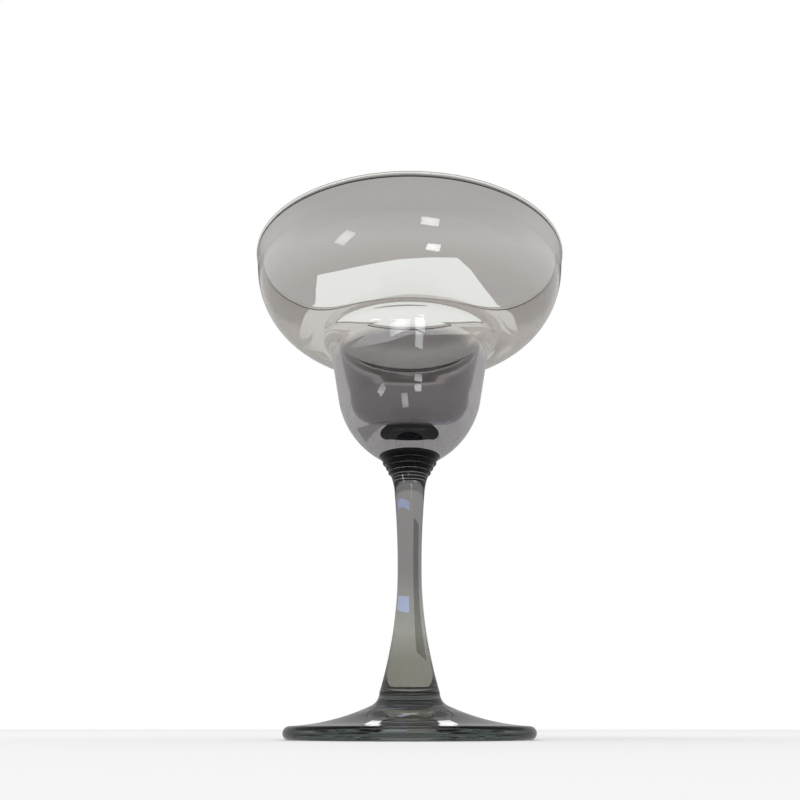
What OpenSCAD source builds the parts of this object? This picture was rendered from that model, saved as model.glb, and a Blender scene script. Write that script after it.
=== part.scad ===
// Margarita glass: a wide saucer over a narrower cup, on a ringed neck, a solid stem and a round foot.
// The origin is at the middle of the foot's underside, on the table, and +Z is the axis of the glass.
// Every piece is round about that axis, so each module revolves one half outline.
// The outlines are arcs and straight tapers that run into each other without a corner,
// apart from the crease where the round bottom of the bowl sits on the neck.

/* [Rim and saucer] */
// Outer radius that the side of the saucer reaches at the top of the glass
rim_r = 59; // [50:0.1:70]
// Lean of the side of the saucer at the rim, outwards from upright, in degrees
rim_lean = 6.5; // [2:0.5:12]
// Thickness of the wall at the rim
rim_wall = 1.3; // [1:0.05:2]
// Thickness of the rounded, fire-polished bead on the rim
rim_bead = 1.6; // [1.4:0.05:2.6]
// Depth of the saucer, from the top of the glass to the lowest point of its underside
saucer_depth = 35.8; // [30:0.1:42]
// Radius of the curve of the saucer's side and underside
saucer_round = 30.7; // [26:0.1:33]
// Thickness of the wall at the underside of the saucer
saucer_wall = 3.5; // [2:0.1:4.5]
// Radius of the curve of the saucer's inside, where the wall grows thicker from the rim to the shoulder
inner_saucer_round = 26.6; // [24:0.1:28.5]

/* [Cup] */
// Height of the bowl, from the crease on the neck to the top of the glass
bowl_h = 78.9; // [74:0.1:90]
// Outer radius of the cup where its side would meet the underside of the saucer
cup_r = 29.7; // [26:0.1:33]
// Lean of the side of the cup, outwards from upright, in degrees
cup_lean = 10; // [4:0.1:14]
// Radius of the curve of the cup's round bottom
cup_round = 31; // [26:0.1:40]
// Thickness of the wall at the side of the cup, level with the underside of the saucer
cup_wall = 3.6; // [2.2:0.1:4.2]
// Lean of the inside of the cup, whose wall grows thicker towards its bottom, in degrees
inner_cup_lean = 12; // [8:0.1:14]
// Radius of the hollow curve between the cup and the underside of the saucer
shoulder_round = 4.5; // [3:0.1:9]
// Radius of the shoulder inside the bowl, where the saucer drops into the cup
inner_shoulder_round = 7; // [5:0.1:11]
// Thickness of the solid glass between the crease on the neck and the floor of the cup
floor_thick = 8.4; // [5:0.1:13]
// Radius of the flat floor of the cup
floor_r = 6.2; // [3:0.1:10]
// Radius of the rounded seat that the bottom of the bowl makes in the neck
seat_round = 30; // [20:0.5:60]

/* [Neck collar] */
// Outer radius of the crease where the bowl sits on the neck
seat_r = 10.9; // [9:0.1:13]
// Height of the ringed collar, from its seam with the stem to the crease
collar_h = 6.9; // [5:0.1:9]
// Number of fine rings round the collar
ring_count = 3; // [0:1:3]
// Distance from the crease down to the first ring
ring_drop = 2.3; // [1:0.1:3]
// Distance from one ring to the next
ring_step = 1.8; // [1.2:0.1:1.9]
// Depth that each ring is sunk into the glass
ring_depth = 0.08; // [0.04:0.01:0.25]
// Radius of the groove that makes each ring
ring_round = 0.3; // [0.2:0.05:0.5]

/* [Stem] */
// Height of the stem, from its seam with the foot to its seam with the collar
stem_h = 72.2; // [60:0.1:95]
// Radius of the stem at its seam with the foot
stem_foot_r = 9.7; // [7:0.1:12]
// Radius of the waist, the slimmest place of the stem
waist_r = 4.05; // [3.4:0.05:4.6]
// Height of the waist above the seam with the foot
waist_h = 38.5; // [30:0.5:50]
// Radius at which the stem starts to flare out under the bowl
neck_r = 5.2; // [4.8:0.1:7]
// Height of that flare, from its start to the crease
flare_h = 14.6; // [12:0.1:20]

/* [Foot] */
// Outer radius of the foot
foot_r = 39.7; // [34:0.1:46]
// Height of the foot, from the table to its seam with the stem
foot_h = 14; // [11:0.1:18]
// Thickness of the rounded edge of the foot
edge_thick = 4; // [3:0.1:5]
// Radius of the long hollow curve of the foot's top
foot_round = 71; // [60:1:200]
// Radius of the hollow curve between the hub and the foot's top
hub_round = 4.3; // [2:0.1:6]
// Width of the flat ring that the foot stands on
ring_width = 4.2; // [2:0.1:8]
// Rise of the hollow underside above the table
hollow_rise = 3.2; // [1:0.1:5]

/* [Hidden] */

// Fineness of the revolved surfaces, and of the grooves
$fn = 180;
// Longest straight piece that a curve of an outline is drawn with
chord = 2.4;
// Widest turn from one such piece to the next, in degrees
turn_step = 10;

// Heights of the seams, from the table up
foot_top = foot_h;
stem_top = foot_top + stem_h;
crease_z = stem_top + collar_h;
glass_top = crease_z + bowl_h;

// An outline is a list of [radius, height] points. Its angles are in degrees, from straight outwards,
// and turn upwards. A lean is how far a side tips outwards from upright.

// Points along an arc, from one angle to another
function arc(centre, radius, from, to) =
    let (turn = to - from,
         steps = ceil(max(abs(turn) / turn_step, abs(turn) * PI / 180 * radius / chord)))
    [for (i = [0 : 1 : steps])
        let (angle = from + turn * i / steps)
        centre + radius * [cos(angle), sin(angle)]];

// Angle of the way from one point to another, from 0 to 360
function bearing(from, to) = (atan2(to.y - from.y, to.x - from.x) + 360) % 360;

// The same points from the last to the first
function backwards(points) = [for (i = [len(points) - 1 : -1 : 0]) points[i]];

// Direction along a leaning side, upwards, and the direction square to it, outwards
function along(lean) = [sin(lean), cos(lean)];
function outward(lean) = [cos(lean), -sin(lean)];

// Radius of a leaning side, given by a point on it, at another height
function side_at(point, lean, z) = point.x + (z - point.y) * tan(lean);

// Centre of an arc that touches a leaning side and keeps its distance, reach, from another point.
// offset is how far it lies outside the side. turn is 1 above that point and -1 below it.
function centre_on_side(point, lean, offset, other, reach, turn) =
    let (across = offset - (other - point) * outward(lean),
         rise = sqrt(reach * reach - across * across))
    other + across * outward(lean) + turn * rise * along(lean);

// Centre of an arc that keeps its distance from two other points, on the left of the way from a to b
function centre_between(a, reach_a, b, reach_b) =
    let (span = norm(b - a),
         way = (b - a) / span,
         share = (reach_a * reach_a - reach_b * reach_b + span * span) / (2 * span),
         side = sqrt(reach_a * reach_a - share * share))
    a + share * way + side * [-way.y, way.x];

// The shoulder and the saucer above it, as two arcs that touch each other, the side of the cup below
// and the side of the rim above. It serves the outside of the bowl and, with other sizes, its inside.
function shoulder_and_saucer(cup_side, lean, shoulder_radius, saucer_radius, saucer_low, rim_side) =
    let (saucer_y = saucer_low + saucer_radius,
         saucer = [side_at(rim_side, rim_lean, saucer_y) - saucer_radius / cos(rim_lean), saucer_y],
         shoulder = centre_on_side(cup_side, lean, shoulder_radius,
                                   saucer, saucer_radius + shoulder_radius, -1))
    concat(arc(shoulder, shoulder_radius, 180 - lean, bearing(shoulder, saucer)),
           arc(saucer, saucer_radius, bearing(saucer, shoulder), 360 - rim_lean));

// Rounded seat that the bowl and the collar share, from the axis out to the crease
crease = [seat_r, crease_z];
seat_centre = [0, crease_z + sqrt(seat_round * seat_round - seat_r * seat_r)];
seat = arc(seat_centre, seat_round, 270, bearing(seat_centre, crease));

// Outside of the bowl, from the crease to the rim
saucer_z = glass_top - saucer_depth;
cup_side = [cup_r, saucer_z];
rim_side = [rim_r, glass_top];
cup_centre = centre_on_side(cup_side, cup_lean, -cup_round, crease, cup_round, 1);
bowl_outside = concat(
    arc(cup_centre, cup_round, bearing(cup_centre, crease), 360 - cup_lean),
    shoulder_and_saucer(cup_side, cup_lean, shoulder_round, saucer_round, saucer_z, rim_side));

// Inside of the bowl, from the middle of its floor to the rim
floor_z = crease_z + floor_thick;
floor_edge = [floor_r, floor_z];
inner_cup_side = cup_side - cup_wall * outward(cup_lean);
inner_cup_round = (inner_cup_side - floor_edge) * outward(inner_cup_lean) / (1 - sin(inner_cup_lean));
bowl_inside = concat(
    [[0, floor_z]],
    arc(floor_edge + [0, inner_cup_round], inner_cup_round, 270, 360 - inner_cup_lean),
    shoulder_and_saucer(inner_cup_side, inner_cup_lean, inner_shoulder_round, inner_saucer_round,
                        saucer_z + saucer_wall, rim_side - rim_wall * outward(rim_lean)));

// Bead rolled on the rim, from the outside of the wall over the top to its inside.
// bead_swell is how far round the bead starts below the middle, because it is thicker than the wall.
bead_z = glass_top - rim_bead / 2;
bead_centre = [side_at(rim_side, rim_lean, bead_z) - rim_wall / cos(rim_lean) / 2, bead_z];
bead_swell = acos(rim_wall / rim_bead);
bead = arc(bead_centre, rim_bead / 2, -rim_lean - bead_swell, 180 - rim_lean + bead_swell);

module bowl() {
    color([0.82, 0.81, 0.79, 0.45])
    rotate_extrude() polygon(concat(seat, bowl_outside, bead, backwards(bowl_inside)));
}

// Flare under the bowl, an arc that is upright at its start and runs out to the crease
flare_reach = seat_r - neck_r;
flare_round = (flare_reach * flare_reach + flare_h * flare_h) / (2 * flare_reach);
flare_centre = [neck_r + flare_round, crease_z - flare_h];
function flare_at(z) = flare_centre.x - sqrt(flare_round * flare_round - pow(z - flare_centre.y, 2));
function flare_from(z) =
    arc(flare_centre, flare_round, bearing(flare_centre, [flare_at(z), z]), bearing(flare_centre, crease));

// A groove round the collar at a height, sunk into the flare
module ring_groove(z) {
    surface = [flare_at(z), z];
    translate(surface + (ring_round - ring_depth) * (flare_centre - surface) / flare_round)
        circle(r = ring_round);
}

module neck_collar() {
    color([0.28, 0.29, 0.31, 0.8])
    rotate_extrude()
    difference() {
        polygon(concat([[0, stem_top]], flare_from(stem_top), backwards(seat)));
        for (i = [0 : 1 : ring_count - 1]) ring_groove(crease_z - ring_drop - i * ring_step);
    }
}

// Long curves of the stem, from the foot in to the waist and from the waist up into the flare
waist = [waist_r, foot_top + waist_h];
stem_spread = stem_foot_r - waist_r;
lower_round = (stem_spread * stem_spread + waist_h * waist_h) / (2 * stem_spread);
lower_centre = waist + [lower_round, 0];
to_flare = flare_centre - waist;
upper_round = (to_flare * to_flare - flare_round * flare_round) / (2 * (to_flare.x - flare_round));
upper_centre = waist + [upper_round, 0];
flare_bearing = bearing(upper_centre, flare_centre);
flare_end = bearing(flare_centre, [flare_at(stem_top), stem_top]);

module stem() {
    color([0.62, 0.61, 0.6, 0.6])
    rotate_extrude()
    polygon(concat(
        [[0, foot_top]],
        arc(lower_centre, lower_round, bearing(lower_centre, [stem_foot_r, foot_top]), 180),
        arc(upper_centre, upper_round, 180, flare_bearing),
        arc(flare_centre, flare_round, flare_bearing, flare_end),
        [[0, stem_top]]));
}

// Top of the foot: the hub's hollow curve, the long hollow curve and the round edge touch each other
edge_r = edge_thick / 2;
edge_centre = [foot_r - edge_r, edge_r];
hub_centre = [stem_foot_r + hub_round, foot_top];
top_centre = centre_between(hub_centre, foot_round - hub_round, edge_centre, foot_round + edge_r);

// Hollow underside, a shallow arc from inside the flat ring to the axis
hollow_r = edge_centre.x - ring_width;
hollow_round = (hollow_r * hollow_r + hollow_rise * hollow_rise) / (2 * hollow_rise);
hollow_centre = [0, hollow_rise - hollow_round];

hub_bearing = bearing(top_centre, hub_centre);

module foot() {
    color([0.45, 0.5, 0.48, 0.7])
    rotate_extrude()
    polygon(concat(
        arc(hollow_centre, hollow_round, 90, bearing(hollow_centre, [hollow_r, 0])),
        arc(edge_centre, edge_r, -90, bearing(edge_centre, top_centre)),
        arc(top_centre, foot_round, bearing(top_centre, edge_centre), hub_bearing),
        arc(hub_centre, hub_round, hub_bearing, 180),
        [[0, foot_top]]));
}

bowl();
neck_collar();
stem();
foot();
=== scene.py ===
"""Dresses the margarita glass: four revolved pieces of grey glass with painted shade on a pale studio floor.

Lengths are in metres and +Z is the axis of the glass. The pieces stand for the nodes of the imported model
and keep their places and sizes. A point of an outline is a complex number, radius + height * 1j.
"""

import cmath
import math

import bmesh
import bpy
from bpy.props import FloatProperty, FloatVectorProperty, IntProperty, PointerProperty
from mathutils import Matrix, Vector


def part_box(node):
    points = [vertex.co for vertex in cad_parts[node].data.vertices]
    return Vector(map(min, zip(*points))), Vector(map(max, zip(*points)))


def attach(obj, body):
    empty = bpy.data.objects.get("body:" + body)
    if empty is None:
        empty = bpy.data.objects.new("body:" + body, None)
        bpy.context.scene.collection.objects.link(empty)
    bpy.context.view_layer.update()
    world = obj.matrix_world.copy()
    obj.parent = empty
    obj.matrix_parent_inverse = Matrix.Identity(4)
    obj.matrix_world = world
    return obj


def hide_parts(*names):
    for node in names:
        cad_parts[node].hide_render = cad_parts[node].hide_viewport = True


bl_info = {
    "name": "Margarita Glass",
    "version": (1, 0, 0),
    "blender": (4, 5, 0),
    "location": "View3D > Sidebar > Glassware",
    "description": "Builds a smoke-grey margarita glass from four revolved pieces, and a pale studio for it",
    "category": "Object",
}

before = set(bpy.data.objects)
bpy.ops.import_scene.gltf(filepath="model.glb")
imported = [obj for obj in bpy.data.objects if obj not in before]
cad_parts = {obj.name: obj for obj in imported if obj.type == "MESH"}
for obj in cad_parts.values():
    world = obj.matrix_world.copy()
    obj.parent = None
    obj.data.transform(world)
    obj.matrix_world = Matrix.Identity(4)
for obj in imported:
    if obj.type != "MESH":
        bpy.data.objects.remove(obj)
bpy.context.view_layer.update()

# Heights of the seams and reach of each piece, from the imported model
_, FOOT_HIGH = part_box("foot")
STEM_LOW, STEM_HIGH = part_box("stem")
COLLAR_LOW, COLLAR_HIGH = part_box("neck_collar")
_, BOWL_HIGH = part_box("bowl")

MM = 0.001
FULL_TURN = 2 * math.pi
# Steps round the axis, longest piece of an outline, and widest turn between two such pieces
ROUND_STEPS = 288
CHORD = 0.7 * MM
TURN_STEP = math.radians(5)
# Edges that turn more than this keep a crisp line in the shading
CRISP = math.radians(28)
# Points of a piece that are closer than this are one
WELD = 0.002 * MM
# Ways round the centre of an arc
LEFT, RIGHT = 1, -1
# Material slots of a piece: its open surface, and the seams where it is fused to the next piece
GLASS_SLOT, SEAM_SLOT = 0, 1

WHITE = (1, 1, 1)
COOL = (0.945, 0.995, 1)
PALE_BLUE = (0.58, 0.68, 1)


def length(name, description, default):
    """A size of the glass, in metres."""
    return FloatProperty(name=name, description=description, default=default,
                         min=0, precision=5, unit="LENGTH", subtype="DISTANCE")


def lean_angle(name, description, degrees):
    """An angle, given in degrees."""
    return FloatProperty(name=name, description=description, default=math.radians(degrees),
                         unit="ROTATION", subtype="ANGLE")


def tint(name, description, default):
    """A colour, or the share of light that a wall of glass lets through."""
    return FloatVectorProperty(name=name, description=description, default=default,
                               size=3, min=0, max=1, subtype="COLOR")


def factor(name, description, default, top=1):
    """A plain number from 0 up."""
    return FloatProperty(name=name, description=description, default=default,
                         min=0, max=top, subtype="FACTOR")


class BowlSettings(bpy.types.PropertyGroup):
    """Sizes of the bowl, and its tints, which are partly painted shade."""
    rim_r: length("Rim radius", "Outer radius at the top of the glass", 59 * MM)
    rim_lean: lean_angle("Rim lean", "Lean of the side of the saucer at the rim, from upright", 6.5)
    rim_wall: length("Rim wall", "Thickness of the wall at the rim", 1.3 * MM)
    rim_bead: length("Rim bead", "Thickness of the rounded bead on the rim", 1.6 * MM)
    saucer_depth: length("Saucer depth", "From the top of the glass to the saucer's underside", 35.8 * MM)
    saucer_round: length("Saucer round", "Radius of the curve of the saucer's side", 30.7 * MM)
    saucer_wall: length("Saucer wall", "Thickness of the wall at the saucer's underside", 3.5 * MM)
    inner_saucer_round: length("Inner saucer round", "Radius of the curve of the saucer's inside", 26.6 * MM)
    cup_r: length("Cup radius", "Outer radius of the cup under the saucer", 29.7 * MM)
    cup_lean: lean_angle("Cup lean", "Lean of the side of the cup, from upright", 10)
    cup_round: length("Cup round", "Radius of the curve of the cup's bottom", 31 * MM)
    cup_wall: length("Cup wall", "Thickness of the cup's wall, level with the saucer's underside", 3.6 * MM)
    inner_cup_lean: lean_angle("Inner cup lean", "Lean of the inside of the cup, from upright", 12)
    shoulder_round: length("Shoulder", "Radius of the hollow curve outside the shoulder", 4.5 * MM)
    inner_shoulder_round: length("Inner shoulder", "Radius of the shoulder inside the bowl", 7 * MM)
    floor_thick: length("Floor thickness", "Solid glass under the floor of the cup", 8.4 * MM)
    floor_r: length("Floor radius", "Radius of the flat floor of the cup", 6.2 * MM)
    # The bowl's tints are partly the glass's own grey and partly painted shade, each set to the tone of its
    # part
    rim_tint: tint("Rim tint", "Share of light that the thin wall near the rim lets through",
                   (0.76, 0.735, 0.71))
    saucer_tint: tint("Saucer tint", "Share of light that the wall of the saucer lets through",
                      (0.61, 0.585, 0.56))
    cup_tint: tint("Cup tint", "Share of light that the wall of the cup lets through", (0.35, 0.335, 0.345))
    base_tint: tint("Base tint", "Share of light that the thick bottom of the cup lets through",
                    (0.26, 0.25, 0.255))


class NeckSettings(bpy.types.PropertyGroup):
    """Sizes of the ringed collar, and its tints, which hold painted shade and painted highlights."""
    seat_r: length("Seat radius", "Outer radius of the crease where the bowl sits", 10.9 * MM)
    seat_round: length("Seat round", "Radius of the rounded seat under the bowl", 30 * MM)
    neck_r: length("Neck radius", "Radius at which the stem starts to flare out", 5.2 * MM)
    flare_h: length("Flare height", "Height of the flare under the bowl", 14.6 * MM)
    ring_count: IntProperty(name="Rings", description="Number of fine rings round the collar",
                            default=3, min=0)
    ring_drop: length("Ring drop", "From the crease down to the first ring", 2.3 * MM)
    ring_step: length("Ring step", "From one ring to the next", 1.8 * MM)
    ring_depth: length("Ring depth", "Depth of each ring", 0.08 * MM)
    ring_round: length("Ring round", "Radius of the groove that makes each ring", 0.3 * MM)
    # Near-black tint: partly the glass's own darkening, partly painted shade for the dark surroundings it
    # shows
    neck_tint_and_shade: tint("Neck tint", "Share of light that the collar lets through", (0.018, 0.018, 0.024))
    # The rings are lighter: a painted highlight where their grooves catch the light
    ring_highlight: tint("Ring tint", "Share of light that the fine rings let through", (0.5, 0.52, 0.52))
    # The collar's ends are darkened: painted shade that keeps its inside dark
    join_shade: tint("Join tint", "Share of light that each end of the collar lets through",
                    (0.10, 0.10, 0.11))
    # Its reflections are dimmed: painted shade for the dim surroundings that it mirrors
    mirror: factor("Mirror", "Strength of the collar's own reflections", 0.35)


class StemSettings(bpy.types.PropertyGroup):
    """Sizes of the stem, and its tints, which are partly painted shade."""
    foot_end_r: length("Radius at the foot", "Radius of the stem at its seam with the foot", 9.7 * MM)
    waist_r: length("Waist radius", "Radius of the slimmest place of the stem", 4.05 * MM)
    waist_h: length("Waist height", "Height of the waist above the seam with the foot", 38.5 * MM)
    # The stem's tints are partly the glass's own grey and partly painted shade, each set to the tone of its
    # part
    stem_tint: tint("Stem tint", "Share of light that the stem lets through", (0.245, 0.238, 0.235))
    flare_tint: tint("Flare tint", "Share of light that the stem lets through halfway up to its waist",
                     (0.37, 0.37, 0.335))
    low_tint: tint("Low tint", "Share of light that the stem lets through near the foot",
                   (0.27, 0.265, 0.225))


class FootSettings(bpy.types.PropertyGroup):
    """Sizes and tints of the foot; the tint of its top is partly painted shade."""
    edge_thick: length("Edge thickness", "Thickness of the rounded edge of the foot", 4 * MM)
    foot_round: length("Foot round", "Radius of the long hollow curve of the foot's top", 71 * MM)
    hub_round: length("Hub round", "Radius of the hollow curve beside the stem", 4.3 * MM)
    ring_width: length("Ring width", "Width of the flat ring that the foot stands on", 4.2 * MM)
    hollow_rise: length("Hollow rise", "Rise of the hollow underside above the table", 3.2 * MM)
    # The tint of the foot's top is partly the glass's own grey and partly painted shade, set to its tone
    foot_tint: tint("Foot tint", "Share of light that the top of the foot lets through", (0.23, 0.22, 0.205))
    hub_tint: tint("Hub tint", "Share of light that the foot lets through under the stem",
                   (0.06, 0.065, 0.065))
    hollow_tint: tint("Hollow tint", "Share of light that the hollow underside lets through",
                      (0.92, 0.91, 0.89))
    edge_tint: tint("Edge tint", "Share of light that the edge of the foot lets through", (0.10, 0.13, 0.12))


class StudioSettings(bpy.types.PropertyGroup):
    """Colours and levels of the studio."""
    floor_colour: tint("Floor colour", "Colour of the plain pale floor", (0.93, 0.93, 0.93))
    dome_level: factor("Dome level", "Level of the soft light from all round", 0.92, 2)
    high_level: factor("High level", "Level of the backdrop high above, as the glass shows it", 0.7)
    room_level: factor("Room level", "Level of the room in front of the glass, as the glass shows it", 0.4)
    sheen_level: factor("Sheen level", "Level of the backdrop in the sheen on the glass", 0.45)
    window_level: factor("Window level", "Level of the bright window behind the glass", 1.4, 10)


# Outlines

def bearing(start, end):
    """Angle of the way from one point to another, from 0 to a full turn."""
    return cmath.phase(end - start) % FULL_TURN


def towards(angle):
    """Direction of an angle, one unit long."""
    return cmath.rect(1, angle)


def outward(lean):
    """Direction square to a side that leans outwards from upright."""
    return towards(-lean)


def along(lean):
    """Direction up a side that leans outwards from upright."""
    return 1j * towards(-lean)


def dot(a, b):
    """How far one point reaches in the direction of another."""
    return (a * b.conjugate()).real


def side_at(point, lean, z):
    """Radius of a leaning side, given by a point on it, at another height."""
    return point.real + (z - point.imag) * math.tan(lean)


def centre_on_side(point, lean, offset, other, reach, turn):
    """Centre of an arc that touches a leaning side and keeps its distance, reach, from another point.

    offset is how far it lies outside the side. turn is 1 above that point and -1 below it.
    """
    across = offset - dot(other - point, outward(lean))
    rise = math.sqrt(reach ** 2 - across ** 2)
    return other + across * outward(lean) + turn * rise * along(lean)


def centre_between(a, reach_a, b, reach_b):
    """Centre of an arc that keeps its distance from two other points, on the left of the way from a to b."""
    span = abs(b - a)
    way = (b - a) / span
    share = (reach_a ** 2 - reach_b ** 2 + span ** 2) / (2 * span)
    side = math.sqrt(reach_a ** 2 - share ** 2)
    return a + share * way + side * way * 1j


class Outline:
    """Half outline of a round piece, drawn in runs that are then revolved."""

    def __init__(self, start):
        self.mesh = bmesh.new()
        self.point = start
        self.runs = {GLASS_SLOT: [], SEAM_SLOT: []}

    def run(self, slot, strokes):
        """Draws strokes from where the last run ended.

        A stroke is a point, for a straight line, or (centre, end, LEFT or RIGHT), for an arc.
        """
        mesh = self.mesh
        before = {*mesh.verts, *mesh.edges}
        tip = mesh.verts.new((self.point.real, 0, self.point.imag))
        for stroke in strokes:
            if isinstance(stroke, complex):
                end = stroke
                drawn = bmesh.ops.extrude_vert_indiv(mesh, verts=[tip])["verts"]
            else:
                centre, end, way = stroke
                turn = way * ((way * (bearing(centre, end) - bearing(centre, self.point))) % FULL_TURN)
                steps = math.ceil(max(abs(turn) / TURN_STEP, abs(turn) * abs(end - centre) / CHORD))
                drawn = bmesh.ops.spin(mesh, geom=[tip], cent=(centre.real, 0, centre.imag),
                                       axis=(0, -1, 0), angle=turn, steps=steps)["geom_last"]
            tip = drawn[0]
            tip.co = (end.real, 0, end.imag)
            self.point = end
        self.runs[slot].append(list({*mesh.verts, *mesh.edges} - before))

    def spin_runs(self, slot):
        """Turns the runs of one slot round the axis."""
        for geometry in self.runs[slot]:
            bmesh.ops.spin(self.mesh, geom=geometry, cent=(0, 0, 0), axis=(0, 0, 1), angle=FULL_TURN,
                           steps=ROUND_STEPS, use_merge=True)

    def revolve(self):
        """Turns the runs into a closed body. The seams come first, so that only they get their slot."""
        mesh = self.mesh
        self.spin_runs(SEAM_SLOT)
        for face in mesh.faces:
            face.material_index = SEAM_SLOT
        self.spin_runs(GLASS_SLOT)
        bmesh.ops.remove_doubles(mesh, verts=mesh.verts, dist=WELD)
        bmesh.ops.recalc_face_normals(mesh, faces=mesh.faces)
        return mesh


def finish_piece(outline, node, glass, join_shade=WHITE):
    """Revolves an outline, gives the piece its glass and puts it in its node's place."""
    mesh = outline.revolve()
    for face in mesh.faces:
        face.smooth = True
    for edge in mesh.edges:
        slots = {face.material_index for face in edge.link_faces}
        edge.smooth = len(slots) == 1 and edge.calc_face_angle(0) < CRISP
    data = bpy.data.meshes.new(node + "_glass")
    mesh.to_mesh(data)
    mesh.free()
    data.materials.append(glass)
    data.materials.append(fused_join(node + "_join", join_shade))
    piece = bpy.data.objects.new(node + "_glass", data)
    bpy.context.scene.collection.objects.link(piece)
    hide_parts(node)
    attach(piece, "root")


# Materials

class Socket:
    """A node's output, on which sums and products of values add Math nodes."""

    def __init__(self, nodes, socket):
        self.nodes = nodes
        self.socket = socket

    def maths(self, operation, first, second):
        """Adds a Math node."""
        return self.nodes.add("ShaderNodeMath", {"operation": operation}, {0: first, 1: second})

    def __add__(self, other):
        return self.maths("ADD", self, other)

    def __sub__(self, other):
        return self.maths("SUBTRACT", self, other)

    def __rsub__(self, other):
        return self.maths("SUBTRACT", other, self)

    def __mul__(self, other):
        return self.maths("MULTIPLY", self, other)

    def __truediv__(self, other):
        return self.maths("DIVIDE", self, other)

    def __rtruediv__(self, other):
        return self.maths("DIVIDE", other, self)

    __radd__ = __add__
    __rmul__ = __mul__


class Nodes:
    """Adds the nodes of a material or a world."""

    def __init__(self, owner):
        owner.use_nodes = True
        self.tree = owner.node_tree
        self.tree.nodes.clear()

    def add(self, kind, settings=None, inputs=None, output=0):
        """Adds a node: its settings first, then the values or links of its sockets. Gives one output."""
        node = self.tree.nodes.new(kind)
        for name, value in (settings or {}).items():
            if name == "stops":
                set_stops(node.color_ramp.elements, value)
            else:
                setattr(node, name, value)
        for name, value in (inputs or {}).items():
            if isinstance(value, Socket):
                self.tree.links.new(value.socket, node.inputs[name])
            else:
                node.inputs[name].default_value = value
        return Socket(self, node.outputs[output]) if node.outputs else None


def set_stops(elements, stops):
    """Gives a colour ramp its stops, a list of (position, colour)."""
    while len(elements) > 1:
        elements.remove(elements[-1])
    for index, (position, colour) in enumerate(stops):
        stop = elements[0] if index == 0 else elements.new(position)
        stop.position = position
        stop.color = (*colour, 1)


def fused_join(name, colour):
    """Surface where two pieces were fused hot: it only lets light through, and a dark share is painted
    shade.
    """
    material = bpy.data.materials.new(name)
    nodes = Nodes(material)
    clear = nodes.add("ShaderNodeBsdfTransparent", {}, {"Color": (*colour, 1)})
    nodes.add("ShaderNodeOutputMaterial", {}, {"Surface": clear})
    return material


GLASS_IOR = 1.5
# Slow unevenness of pressed and blown glass: waves in a metre, and their depth
WAVE_SCALE = 60
WAVE_DEPTH = 0.02 * MM
# Where a fine line starts to fade and where it ends, as shares of half its width
LINE_FADE = (0.8, 1.2)
# Sockets of a Mix node: its two colours, and their blend
FIRST_COLOUR, SECOND_COLOUR, BLEND = 6, 7, 2


def object_place(nodes):
    """Place on a piece, in metres from the middle of the foot's underside."""
    return nodes.add("ShaderNodeTexCoord", output="Object")


def object_height(nodes):
    """Height above the table."""
    return nodes.add("ShaderNodeSeparateXYZ", {}, {"Vector": object_place(nodes)}, "Z")


def object_radius(nodes):
    """Distance from the axis."""
    level = {0: object_place(nodes), 1: (1, 1, 0)}
    flat = nodes.add("ShaderNodeVectorMath", {"operation": "MULTIPLY"}, level)
    return nodes.add("ShaderNodeVectorMath", {"operation": "LENGTH"}, {0: flat}, "Value")


def blend(nodes, share, first, second):
    """Blend of two colours, the first where share is 0 and the second where it is 1."""
    colours = {"Factor": share, FIRST_COLOUR: first, SECOND_COLOUR: second}
    return nodes.add("ShaderNodeMix", {"data_type": "RGBA"}, colours, BLEND)


def blend_shaders(nodes, share, first, second):
    """Blend of two shaders, the first where share is 0 and the second where it is 1."""
    return nodes.add("ShaderNodeMixShader", {}, {0: share, 1: first, 2: second})


def height_tint(nodes, stops):
    """Tint by height, partly painted shade. A stop is a height in metres and the light let through there."""
    low, high = stops[0][0], stops[-1][0]
    ramp = [((z - low) / (high - low), colour) for z, colour in stops]
    share = (object_height(nodes) - low) / (high - low)
    return nodes.add("ShaderNodeValToRGB", {"stops": ramp}, {"Fac": share}, "Color")


def middle_tint(nodes, colour, middle):
    """Gives the middle of a piece its own tint by height: the radii where it fades out, and its stops."""
    inner_r, outer_r, stops = middle
    share = nodes.add("ShaderNodeMapRange", {}, {
        "Value": object_radius(nodes),
        "From Min": inner_r,
        "From Max": outer_r,
    })
    return blend(nodes, share, height_tint(nodes, stops), colour)


def painted_shade_line(nodes, colour, line):
    """Painted shade along a fine line round the axis: its circle, half of its width and its own tint."""
    circle, half_width, dark = line
    across = object_radius(nodes) - circle.real
    up = object_height(nodes) - circle.imag
    away = nodes.add("ShaderNodeMath", {"operation": "SQRT"}, {0: across * across + up * up})
    share = nodes.add("ShaderNodeMapRange", {}, {
        "Value": away,
        "From Min": LINE_FADE[0] * half_width,
        "From Max": LINE_FADE[1] * half_width,
        "To Min": 1.0,
        "To Max": 0.0,
    })
    return blend(nodes, share, colour, (*dark, 1))


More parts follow.
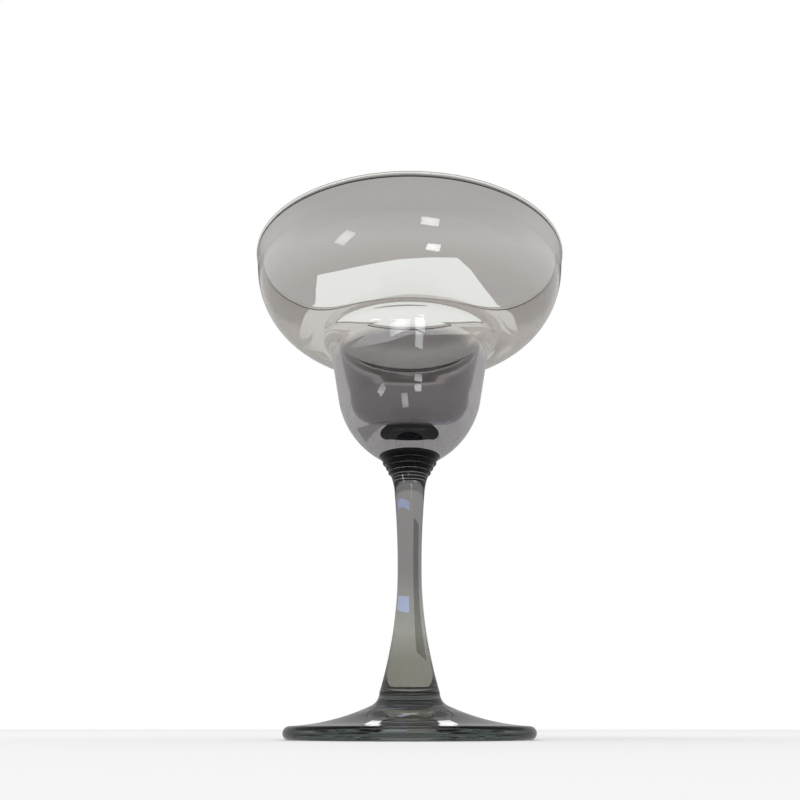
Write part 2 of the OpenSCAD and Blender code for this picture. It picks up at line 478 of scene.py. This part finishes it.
def smoke_and_shade_glass(name, stops, line=None, middle=None, mirror=1):
    """Grey glass with slow waves in its surface.

    It is tinted by height; the tints are partly the glass's own grey and partly painted shade, set to the
    tone of each part. It may have a fine line of painted shade and a middle of its own tint. mirror is the
    strength of its own reflections.
    """
    material = bpy.data.materials.new(name)
    nodes = Nodes(material)
    colour = height_tint(nodes, stops)
    if middle:
        colour = middle_tint(nodes, colour, middle)
    if line:
        colour = painted_shade_line(nodes, colour, line)
    wave = {"Vector": object_place(nodes), "Scale": WAVE_SCALE, "Detail": 1.0}
    waves = nodes.add("ShaderNodeTexNoise", {}, wave, "Fac")
    surface = nodes.add("ShaderNodeBump", {}, {"Strength": 1.0, "Distance": WAVE_DEPTH, "Height": waves})
    glass = nodes.add("ShaderNodeBsdfPrincipled", {}, {
        "Base Color": colour,
        "Roughness": 0.0,
        "IOR": GLASS_IOR,
        "Transmission Weight": 1.0,
        "Specular Tint": (mirror, mirror, mirror, 1),
        "Normal": surface,
    })
    nodes.add("ShaderNodeOutputMaterial", {}, {"Surface": glass})
    return material


# Pieces

# Tint of the fine dark lines, which are painted shade
SHADE_LINE_TINT = (0.004, 0.004, 0.004)
# The line of painted shade inside the rim, under the bead: its drop below the top and half of its width
RIM_SHADE_LINE_DROP = 1.7 * MM
RIM_SHADE_LINE_HALF = 0.27 * MM
# Half of the width of the line of painted shade round the seam between the foot and the stem
SEAM_SHADE_LINE_HALF = 0.8 * MM
# Where the tints of the bowl change: above the cup's floor, below and above the saucer's underside,
# and below the top
FLOOR_TINT_RISE = 4 * MM
CUP_TINT_DROP = 6 * MM
SAUCER_TINT_DROP = 4.5 * MM
SAUCER_TINT_RISE = 10 * MM
RIM_TINT_DROP = 10 * MM
# Where the tints of the foot change: above its edge, above its hollow and across the rim of the hollow
EDGE_TINT_FADE = 0.5 * MM
HOLLOW_TINT_FADE = 0.3 * MM
HOLLOW_RIM_FADE = 1 * MM
# Its tints further up, as shares of its height: the top of the slope, the dark hub and the neck over it
SLOPE_TOP, HUB_LOW, HUB_HIGH, NECK_LOW = 0.55, 0.65, 0.8, 0.9


def shoulder_and_saucer(rim_lean, cup_side, lean, shoulder_round, saucer_round, saucer_low, rim_side):
    """Strokes of the shoulder and the saucer above it, from the cup's side up to the rim's side."""
    saucer_y = saucer_low + saucer_round
    saucer_x = side_at(rim_side, rim_lean, saucer_y) - saucer_round / math.cos(rim_lean)
    saucer = complex(saucer_x, saucer_y)
    shoulder = centre_on_side(cup_side, lean, shoulder_round, saucer, saucer_round + shoulder_round, -1)
    meet = shoulder + shoulder_round * towards(bearing(shoulder, saucer))
    return [
        shoulder - shoulder_round * outward(lean),
        (shoulder, meet, RIGHT),
        (saucer, saucer + saucer_round * outward(rim_lean), LEFT),
    ]


def reversed_strokes(start, strokes):
    """The point where the same strokes start when they are drawn the other way, and those strokes."""
    points = [start] + [stroke if isinstance(stroke, complex) else stroke[1] for stroke in strokes]
    back = []
    for stroke, point in zip(reversed(strokes), reversed(points[:-1])):
        back.append(point if isinstance(stroke, complex) else (stroke[0], point, -stroke[2]))
    return points[-1], back


def crease_point(neck):
    """Point of the crease where the bowl sits on the collar."""
    return complex(neck.seat_r, COLLAR_HIGH.z)


def seat_centre(neck):
    """Centre of the rounded seat that the bowl and the collar share."""
    return complex(0, COLLAR_HIGH.z + math.sqrt(neck.seat_round ** 2 - neck.seat_r ** 2))


def flare_arc(neck):
    """Centre and radius of the flare, upright at its start and running out to the crease."""
    reach = neck.seat_r - neck.neck_r
    radius = (reach ** 2 + neck.flare_h ** 2) / (2 * reach)
    return complex(neck.neck_r + radius, COLLAR_HIGH.z - neck.flare_h), radius


def flare_at(neck, z):
    """Point of the flare at a height."""
    centre, radius = flare_arc(neck)
    return complex(centre.real - math.sqrt(radius ** 2 - (z - centre.imag) ** 2), z)


def bowl_outside(bowl, crease, cup_side, rim_side):
    """Strokes of the outside of the bowl, from the crease up to the side of the rim."""
    cup = centre_on_side(cup_side, bowl.cup_lean, -bowl.cup_round, crease, bowl.cup_round, 1)
    return [
        (cup, cup + bowl.cup_round * outward(bowl.cup_lean), LEFT),
        *shoulder_and_saucer(bowl.rim_lean, cup_side, bowl.cup_lean, bowl.shoulder_round,
                             bowl.saucer_round, cup_side.imag, rim_side),
    ]


def bowl_inside(bowl, floor_z, cup_side, inner_rim_side):
    """Strokes of the inside of the bowl, from the middle of the floor up to the side of the rim."""
    lean = bowl.inner_cup_lean
    floor_edge = complex(bowl.floor_r, floor_z)
    inner_side = cup_side - bowl.cup_wall * outward(bowl.cup_lean)
    inner_round = dot(inner_side - floor_edge, outward(lean)) / (1 - math.sin(lean))
    inner_cup = floor_edge + inner_round * 1j
    return [
        floor_edge,
        (inner_cup, inner_cup + inner_round * outward(lean), LEFT),
        *shoulder_and_saucer(bowl.rim_lean, inner_side, lean, bowl.inner_shoulder_round,
                             bowl.inner_saucer_round, cup_side.imag + bowl.saucer_wall, inner_rim_side),
    ]


def bead_strokes(bowl, rim_side):
    """Strokes of the rounded bead on the rim, from the outside over to the inside."""
    bead_round = bowl.rim_bead / 2
    bead_z = rim_side.imag - bead_round
    wall_middle = bowl.rim_wall / math.cos(bowl.rim_lean) / 2
    bead = complex(side_at(rim_side, bowl.rim_lean, bead_z) - wall_middle, bead_z)
    swell = math.acos(bowl.rim_wall / bowl.rim_bead)
    bead_start = bead + bead_round * towards(-bowl.rim_lean - swell)
    bead_end = bead + bead_round * towards(math.pi - bowl.rim_lean + swell)
    return [bead_start, (bead, bead_end, LEFT)]


class GLASS_OT_bowl(bpy.types.Operator):
    """Build the bowl: a wide saucer over a narrower cup with a thick floor"""
    bl_idname = "glassware.bowl"
    bl_label = "Bowl"

    def execute(self, context):
        bowl = context.scene.glass_bowl
        neck = context.scene.glass_neck
        top = BOWL_HIGH.z
        crease = crease_point(neck)
        seat = seat_centre(neck)
        saucer_z = top - bowl.saucer_depth
        floor_z = COLLAR_HIGH.z + bowl.floor_thick
        cup_side = complex(bowl.cup_r, saucer_z)
        rim_side = complex(bowl.rim_r, top)
        inner_rim_side = rim_side - bowl.rim_wall * outward(bowl.rim_lean)

        outside = bowl_outside(bowl, crease, cup_side, rim_side)
        inside = bowl_inside(bowl, floor_z, cup_side, inner_rim_side)
        inner_rim, down = reversed_strokes(complex(0, floor_z), inside)
        outline = Outline(complex(0, seat.imag - neck.seat_round))
        outline.run(SEAM_SLOT, [(seat, crease, LEFT)])
        outline.run(GLASS_SLOT, [*outside, *bead_strokes(bowl, rim_side), inner_rim, *down])

        stops = [
            (crease.imag, bowl.base_tint),
            (floor_z + FLOOR_TINT_RISE, bowl.cup_tint),
            (saucer_z - CUP_TINT_DROP, bowl.cup_tint),
            (saucer_z - SAUCER_TINT_DROP, bowl.saucer_tint),
            (saucer_z + SAUCER_TINT_RISE, bowl.saucer_tint),
            (top - RIM_TINT_DROP, bowl.rim_tint),
            (top, bowl.rim_tint),
        ]
        # A fine line of painted shade inside the rim, under the bead
        rim_shade_line = (inner_rim_side - RIM_SHADE_LINE_DROP * along(bowl.rim_lean), RIM_SHADE_LINE_HALF, SHADE_LINE_TINT)
        finish_piece(outline, "bowl", smoke_and_shade_glass("bowl_smoke_glass", stops, rim_shade_line))
        return {"FINISHED"}


def ring_strokes(neck, z):
    """Strokes up the flare to a ring, and round the groove that makes it."""
    flare, flare_round = flare_arc(neck)
    surface = flare_at(neck, z)
    groove = surface + (neck.ring_round - neck.ring_depth) * (flare - surface) / flare_round
    span = abs(groove - flare)
    share = (flare_round ** 2 - neck.ring_round ** 2 + span ** 2) / (2 * span)
    across = math.sqrt(flare_round ** 2 - share ** 2)
    way = (groove - flare) / span
    lower = flare + share * way + across * way * 1j
    upper = flare + share * way - across * way * 1j
    return [(flare, lower, RIGHT), (groove, upper, LEFT)]


class GLASS_OT_neck_collar(bpy.types.Operator):
    """Build the ringed collar between the stem and the bowl"""
    bl_idname = "glassware.neck_collar"
    bl_label = "Neck collar"

    def execute(self, context):
        neck = context.scene.glass_neck
        flare, _ = flare_arc(neck)
        crease = crease_point(neck)
        top_ring = crease.imag - neck.ring_drop
        rings = [top_ring - index * neck.ring_step for index in reversed(range(neck.ring_count))]
        strokes = []
        for z in rings:
            strokes += ring_strokes(neck, z)
        strokes.append((flare, crease, RIGHT))
        outline = Outline(complex(0, COLLAR_LOW.z))
        outline.run(SEAM_SLOT, [flare_at(neck, COLLAR_LOW.z)])
        outline.run(GLASS_SLOT, strokes)
        seat = seat_centre(neck)
        outline.run(SEAM_SLOT, [(seat, complex(0, seat.imag - neck.seat_round), RIGHT)])
        # Half of the height of a ring's painted highlight, and as much again for its fade
        half = neck.ring_depth
        # Near-black over the collar, partly painted shade, with painted highlights at the rings
        stops = [(COLLAR_LOW.z, neck.neck_tint_and_shade)]
        for z in rings:
            stops += [
                (z - 2 * half, neck.neck_tint_and_shade),
                (z - half, neck.ring_highlight),
                (z + half, neck.ring_highlight),
                (z + 2 * half, neck.neck_tint_and_shade),
            ]
        stops.append((crease.imag, neck.neck_tint_and_shade))
        glass = smoke_and_shade_glass("neck_smoke_glass", stops, mirror=neck.mirror)
        # Its ends get the dark join shade: painted shade that keeps its inside dark
        finish_piece(outline, "neck_collar", glass, neck.join_shade)
        return {"FINISHED"}


class GLASS_OT_stem(bpy.types.Operator):
    """Build the solid stem, drawn in to a slim waist"""
    bl_idname = "glassware.stem"
    bl_label = "Stem"

    def execute(self, context):
        stem = context.scene.glass_stem
        neck = context.scene.glass_neck
        flare, flare_round = flare_arc(neck)
        waist = complex(stem.waist_r, STEM_LOW.z + stem.waist_h)
        spread = stem.foot_end_r - stem.waist_r
        lower_round = (spread ** 2 + stem.waist_h ** 2) / (2 * spread)
        to_flare = flare - waist
        upper_round = (abs(to_flare) ** 2 - flare_round ** 2) / (2 * (to_flare.real - flare_round))
        upper = waist + upper_round
        meet = flare + flare_round * towards(bearing(upper, flare))
        foot_end = complex(stem.foot_end_r, STEM_LOW.z)
        outline = Outline(complex(0, STEM_LOW.z))
        outline.run(SEAM_SLOT, [foot_end])
        outline.run(GLASS_SLOT, [
            (waist + lower_round, waist, RIGHT),
            (upper, meet, RIGHT),
            (flare, flare_at(neck, STEM_HIGH.z), RIGHT),
        ])
        outline.run(SEAM_SLOT, [complex(0, STEM_HIGH.z)])
        glass = smoke_and_shade_glass("stem_smoke_glass", [
            (STEM_LOW.z, stem.low_tint),
            (STEM_LOW.z + stem.waist_h / 4, stem.low_tint),
            (STEM_LOW.z + stem.waist_h / 2, stem.flare_tint),
            (STEM_LOW.z + stem.waist_h, stem.stem_tint),
            (STEM_HIGH.z, stem.stem_tint),
        ])
        finish_piece(outline, "stem", glass)
        return {"FINISHED"}


class GLASS_OT_foot(bpy.types.Operator):
    """Build the round foot with its hollow underside"""
    bl_idname = "glassware.foot"
    bl_label = "Foot"

    def execute(self, context):
        foot = context.scene.glass_foot
        hub_r = context.scene.glass_stem.foot_end_r
        edge_r = foot.edge_thick / 2
        edge = complex(FOOT_HIGH.x - edge_r, edge_r)
        hub = complex(hub_r + foot.hub_round, FOOT_HIGH.z)
        top = centre_between(hub, foot.foot_round - foot.hub_round, edge, foot.foot_round + edge_r)
        hollow_r = edge.real - foot.ring_width
        hollow_round = (hollow_r ** 2 + foot.hollow_rise ** 2) / (2 * foot.hollow_rise)
        hollow = complex(0, foot.hollow_rise - hollow_round)
        outline = Outline(complex(0, foot.hollow_rise))
        outline.run(GLASS_SLOT, [
            (hollow, complex(hollow_r, 0), RIGHT),
            complex(edge.real, 0),
            (edge, edge + edge_r * towards(bearing(edge, top)), LEFT),
            (top, top + foot.foot_round * towards(bearing(top, hub)), RIGHT),
            (hub, complex(hub_r, FOOT_HIGH.z), RIGHT),
        ])
        outline.run(SEAM_SLOT, [complex(0, FOOT_HIGH.z)])
        upper_stops = [
            (foot.edge_thick + EDGE_TINT_FADE, foot.foot_tint),
            (FOOT_HIGH.z * SLOPE_TOP, foot.foot_tint),
            (FOOT_HIGH.z * HUB_LOW, foot.hub_tint),
            (FOOT_HIGH.z * HUB_HIGH, foot.hub_tint),
            (FOOT_HIGH.z * NECK_LOW, foot.foot_tint),
            (FOOT_HIGH.z, foot.foot_tint),
        ]
        edge_stops = [(0, foot.edge_tint), (edge_r, foot.edge_tint), *upper_stops]
        hollow_top = foot.hollow_rise + HOLLOW_TINT_FADE
        hollow_stops = [(0, foot.hollow_tint), (hollow_top, foot.hollow_tint), *upper_stops]
        middle = (hollow_r - HOLLOW_RIM_FADE, hollow_r + HOLLOW_RIM_FADE, hollow_stops)
        # A fine line of painted shade round the seam with the stem
        seam_shade_line = (complex(hub_r, FOOT_HIGH.z), SEAM_SHADE_LINE_HALF, SHADE_LINE_TINT)
        glass = smoke_and_shade_glass("foot_smoke_glass", edge_stops, seam_shade_line, middle)
        finish_piece(outline, "foot", glass)
        return {"FINISHED"}


# Stage

FLOOR_RADIUS = 4
FLOOR_SIDES = 64
# The camera stands low and close, and looks up
CAMERA_PLACE = (0, -0.2786, 0.0032)
CAMERA_TILT = math.radians(90 + 21.87)
CAMERA_LENS = 36.87
CAMERA_SHIFT = -0.012

GLASS_MIDDLE = (0, 0, 0.09)
STEM_MIDDLE = (0, 0, 0.06)
FOOT_FRONT = (0, -0.026, 0.005)

# A light is its name, place, target, width and height, turn about its own axis in degrees, level, colour
# and perhaps the widest angle of its beam in degrees
OVERHEAD = ("overhead_softbox", (-0.5, -0.3, 1.2), GLASS_MIDDLE, (0.8, 0.8), 0, 0.9, WHITE)
# Small lights that only the sheen of the glass shows
CATCH_LIGHTS = [
    ("front_window", (0.068, -0.302, 0.101), (0.0066, -0.0554, 0.1549), (0.062, 0.048), -4, 11, WHITE, 40),
    ("low_window", (0.031, -0.112, 0.086), (0.0085, -0.0507, 0.1477), (0.018, 0.016), 4, 14, WHITE, 40),
    ("left_window", (-0.295, -0.300, 0.020), (-0.0211, -0.0501, 0.1519), (0.110, 0.070), 35, 7.5, WHITE, 40),
    ("cup_left", (-0.0170, -0.0860, 0.1360), (-0.0033, -0.0282, 0.129), (0.037, 0.005), 3, 8, COOL, 40),
    ("cup_right", (0.0182, -0.0860, 0.1366), (0.0035, -0.0283, 0.1294), (0.018, 0.0045), -3, 8, WHITE, 40),
    ("cup_middle", (0.0169, -0.0856, 0.1307), (0.0032, -0.0275, 0.1245), (0.014, 0.006), -3, 7, COOL, 40),
    ("cup_low", (-0.0090, -0.0730, 0.0736), (-0.0015, -0.0229, 0.1058), (0.0125, 0.026), 2, 6, COOL, 40),
    ("cup_front", (0.0163, -0.0805, 0.0932), (0.0028, -0.0244, 0.1096), (0.014, 0.012), 4, 9, WHITE, 40),
    ("back_window", (0.001, 0.150, 0.056), FOOT_FRONT, (0.050, 0.032), 0, 1.9, WHITE, 40),
]
# Panes of the bright window behind the glass, seen only through it: corners across and up
WINDOW_DISTANCE = 0.15
WINDOW_PANES = [
    [(-0.0530, 0.2470), (-0.0400, 0.2490), (-0.0230, 0.2530), (-0.0060, 0.2570), (0.0120, 0.2590),
     (0.0280, 0.2595), (0.0350, 0.2490), (0.0390, 0.2380), (0.0430, 0.2270), (0.0455, 0.2200),
     (0.0548, 0.2175), (0.0572, 0.2090), (0.0540, 0.2075), (0.0500, 0.2105), (0.0430, 0.2115),
     (0.0300, 0.2105), (0.0000, 0.2115), (-0.0300, 0.2105), (-0.0360, 0.2065), (-0.0460, 0.2085),
     (-0.0490, 0.2065), (-0.0500, 0.1940), (-0.0625, 0.1940), (-0.0600, 0.2040), (-0.0578, 0.2120),
     (-0.0560, 0.2180), (-0.0500, 0.2230), (-0.0520, 0.2340)],
    [(0.0470, 0.2020), (0.0565, 0.2015), (0.0565, 0.1960), (0.0490, 0.1935), (0.0460, 0.1970)],
]
# Strips close behind the stem, which it shows as streaks: corners across and up, level and colour
STRIP_DISTANCE = 0.05
STRIPS = [
    ([(-0.0095, 0.020), (-0.0325, 0.010), (-0.0325, 0.086), (-0.0095, 0.086)], 0.5, WHITE),
    ([(-0.0325, 0.014), (-0.1370, 0.014), (-0.1370, 0.110), (-0.0325, 0.090)], 0.95, WHITE),
    ([(0.0010, 0.0400), (0.0520, 0.0400), (0.0520, 0.0490), (0.0010, 0.0480)], 2.0, PALE_BLUE),
]
# A pale blue card that lies level behind the stem and shows its underside in it
SKY_CARD = [(0.0005, 0.0440, 0.091), (0.0005, 0.0565, 0.091),
            (0.0335, 0.0345, 0.091), (0.0240, 0.0260, 0.091)]
SKY_LEVEL = 2.0
# Where the room in front of the glass ends and where the backdrop behind it starts, from -1 straight
# towards the camera to 1 straight away from it
ROOM_EDGE, BACKDROP_EDGE = -0.35, 0.15


def area_light(name, place, target, size, turn, level, colour, beam=180):
    """A rectangular light that faces a target. Its level is its brightness seen from there, 1 for white."""
    data = bpy.data.lights.new(name, "AREA")
    data.shape = "RECTANGLE"
    data.size, data.size_y = size
    data.energy = level * math.pi * size[0] * size[1]
    if beam < 180:
        # A narrow beam gathers its light, so its power is cut to keep the level
        half = math.radians(beam / 2)
        data.spread = 2 * half
        data.energy *= 1 - half / math.tan(half)
    data.color = colour
    lamp = bpy.data.objects.new(name, data)
    bpy.context.scene.collection.objects.link(lamp)
    away = Vector(place) - Vector(target)
    facing = away.to_track_quat("Z", "Y").to_matrix().to_4x4()
    lamp.matrix_world = Matrix.Translation(place) @ facing @ Matrix.Rotation(math.radians(turn), 4, "Z")
    lamp.visible_camera = False
    return lamp


def plain_object(name, mesh, material):
    """Puts a mesh in the scene as part of the stage."""
    data = bpy.data.meshes.new(name)
    mesh.to_mesh(data)
    mesh.free()
    data.materials.append(material)
    thing = bpy.data.objects.new(name, data)
    bpy.context.scene.collection.objects.link(thing)
    return thing


def build_floor(studio):
    """The plain pale floor, which the glass doesn't mirror."""
    mesh = bmesh.new()
    bmesh.ops.create_circle(mesh, cap_ends=True, segments=FLOOR_SIDES, radius=FLOOR_RADIUS)
    material = bpy.data.materials.new("pale_floor")
    nodes = Nodes(material)
    pale = nodes.add("ShaderNodeBsdfDiffuse", {}, {"Color": (*studio.floor_colour, 1)})
    nodes.add("ShaderNodeOutputMaterial", {}, {"Surface": pale})
    floor = plain_object("pale_floor", mesh, material)
    floor.visible_glossy = False


def glowing_card(name, panes, level, colour):
    """Flat panes of light behind the glass, seen only through it and only from the side of the stem."""
    mesh = bmesh.new()
    for pane in panes:
        bmesh.ops.contextual_create(mesh, geom=[mesh.verts.new(corner) for corner in pane])
    bmesh.ops.triangulate(mesh, faces=mesh.faces)
    mesh.normal_update()
    stem = Vector(STEM_MIDDLE)
    turned = [face for face in mesh.faces if face.normal.dot(face.calc_center_median() - stem) > 0]
    bmesh.ops.reverse_faces(mesh, faces=turned)
    material = bpy.data.materials.new(name)
    nodes = Nodes(material)
    back = nodes.add("ShaderNodeNewGeometry", output="Backfacing")
    glow = nodes.add("ShaderNodeEmission", {}, {"Color": (*colour, 1), "Strength": level})
    clear = nodes.add("ShaderNodeBsdfTransparent", {}, {"Color": (*WHITE, 1)})
    nodes.add("ShaderNodeOutputMaterial", {}, {"Surface": blend_shaders(nodes, back, glow, clear)})
    card = plain_object(name, mesh, material)
    card.visible_camera = False
    card.visible_diffuse = False
    card.visible_glossy = False
    card.visible_shadow = False


def upright(pane, distance):
    """Corners of a pane that stands upright behind the glass, from their places across and up."""
    return [(x, distance, z) for x, z in pane]


def build_cards(studio):
    """The window that gives the bowl its white patch, and the cards that give the stem its streaks."""
    panes = [upright(pane, WINDOW_DISTANCE) for pane in WINDOW_PANES]
    glowing_card("window", panes, studio.window_level, COOL)
    for index, (pane, level, colour) in enumerate(STRIPS):
        glowing_card(f"strip_{index}", [upright(pane, STRIP_DISTANCE)], level, colour)
    glowing_card("sky_card", [SKY_CARD], SKY_LEVEL, PALE_BLUE)


def build_lights():
    """The soft light from above, which the glass doesn't show, and the small lights in its sheen."""
    overhead = area_light(*OVERHEAD)
    overhead.visible_transmission = False
    overhead.visible_glossy = False
    for light in CATCH_LIGHTS:
        lamp = area_light(*light)
        lamp.visible_transmission = False
        lamp.visible_diffuse = False


def background(nodes, colour, level):
    """Light of one colour from all round."""
    return nodes.add("ShaderNodeBackground", {}, {"Color": colour, "Strength": level})


def build_world(studio):
    """Soft light from all round, and a white backdrop that the camera and the glass see."""
    world = bpy.data.worlds.new("studio_world")
    bpy.context.scene.world = world
    nodes = Nodes(world)
    direction = nodes.add("ShaderNodeTexCoord", output="Generated")
    height = nodes.add("ShaderNodeSeparateXYZ", {}, {"Vector": direction}, "Z")
    depth = nodes.add("ShaderNodeSeparateXYZ", {}, {"Vector": direction}, "Y")
    # Shades of the backdrop by the sine of the elevation
    shades = [
        (0, 0.9), (0.385, 1), (0.41, 0.64), (0.44, 0.62),
        (0.53, studio.high_level), (0.58, 0.54), (0.72, 0.5), (0.9, 0.25),
    ]
    stops = [(sine, (shade,) * 3) for sine, shade in shades]
    ramp = nodes.add("ShaderNodeValToRGB", {"stops": stops}, {"Fac": height}, "Color")
    behind = nodes.add("ShaderNodeMapRange", {"interpolation_type": "SMOOTHSTEP"}, {
        "Value": depth,
        "From Min": ROOM_EDGE,
        "From Max": BACKDROP_EDGE,
    })
    path = "ShaderNodeLightPath"
    camera = nodes.add(path, output="Is Camera Ray")
    mirrored = nodes.add(path, output="Is Glossy Ray")
    through = nodes.add(path, output="Is Transmission Ray")
    white = (*WHITE, 1)
    room = background(nodes, ramp, studio.room_level)
    around = blend_shaders(nodes, behind, room, background(nodes, ramp, 1.0))
    soft = background(nodes, white, studio.dome_level)
    sheen = background(nodes, ramp, studio.sheen_level)
    lit = blend_shaders(nodes, mirrored, soft, sheen)
    in_glass = blend_shaders(nodes, through, lit, around)
    seen = blend_shaders(nodes, camera, in_glass, background(nodes, white, 1.0))
    nodes.add("ShaderNodeOutputWorld", {}, {"Surface": seen})


def build_camera():
    """The camera of the picture."""
    data = bpy.data.cameras.new("camera")
    data.lens = CAMERA_LENS
    data.shift_x = CAMERA_SHIFT
    data.clip_start = MM
    camera = bpy.data.objects.new("camera", data)
    bpy.context.scene.collection.objects.link(camera)
    camera.location = CAMERA_PLACE
    camera.rotation_euler = (CAMERA_TILT, 0, 0)
    bpy.context.scene.camera = camera


class GLASS_OT_stage(bpy.types.Operator):
    """Build the stage: the pale floor, the soft lights, the white backdrop and the camera"""
    bl_idname = "glassware.stage"
    bl_label = "Stage"

    def execute(self, context):
        studio = context.scene.glass_studio
        build_floor(studio)
        build_cards(studio)
        build_world(studio)
        build_lights()
        build_camera()
        context.scene.view_settings.view_transform = "Standard"
        return {"FINISHED"}


# Operators in building order, each with the name and the kind of its settings on the scene
PARTS = [
    (GLASS_OT_foot, "glass_foot", FootSettings),
    (GLASS_OT_stem, "glass_stem", StemSettings),
    (GLASS_OT_neck_collar, "glass_neck", NeckSettings),
    (GLASS_OT_bowl, "glass_bowl", BowlSettings),
    (GLASS_OT_stage, "glass_studio", StudioSettings),
]


class GLASS_PT_sidebar(bpy.types.Panel):
    """Lists the pieces of the glass and the stage"""
    bl_label = "Margarita Glass"
    bl_space_type = "VIEW_3D"
    bl_region_type = "UI"
    bl_category = "Glassware"

    def draw(self, context):
        scene = context.scene
        for operator, name, _ in PARTS:
            box = self.layout.box()
            box.operator(operator.bl_idname)
            group = getattr(scene, name)
            for setting in group.bl_rna.properties.keys():
                if setting not in {"rna_type", "name"}:
                    box.prop(group, setting)


CLASSES = [
    *(settings for _, _, settings in PARTS),
    *(operator for operator, _, _ in PARTS),
    GLASS_PT_sidebar,
]


def register():
    """Adds the settings, the operators and the panel to Blender."""
    for kind in CLASSES:
        bpy.utils.register_class(kind)
    for _, name, settings in PARTS:
        setattr(bpy.types.Scene, name, PointerProperty(type=settings))


def unregister():
    """Takes them away again."""
    for _, name, _ in PARTS:
        delattr(bpy.types.Scene, name)
    for kind in reversed(CLASSES):
        bpy.utils.unregister_class(kind)


def main():
    """Builds the glass and its stage."""
    register()
    bpy.ops.glassware.foot()
    bpy.ops.glassware.stem()
    bpy.ops.glassware.neck_collar()
    bpy.ops.glassware.bowl()
    bpy.ops.glassware.stage()


if __name__ == "__main__":
    main()
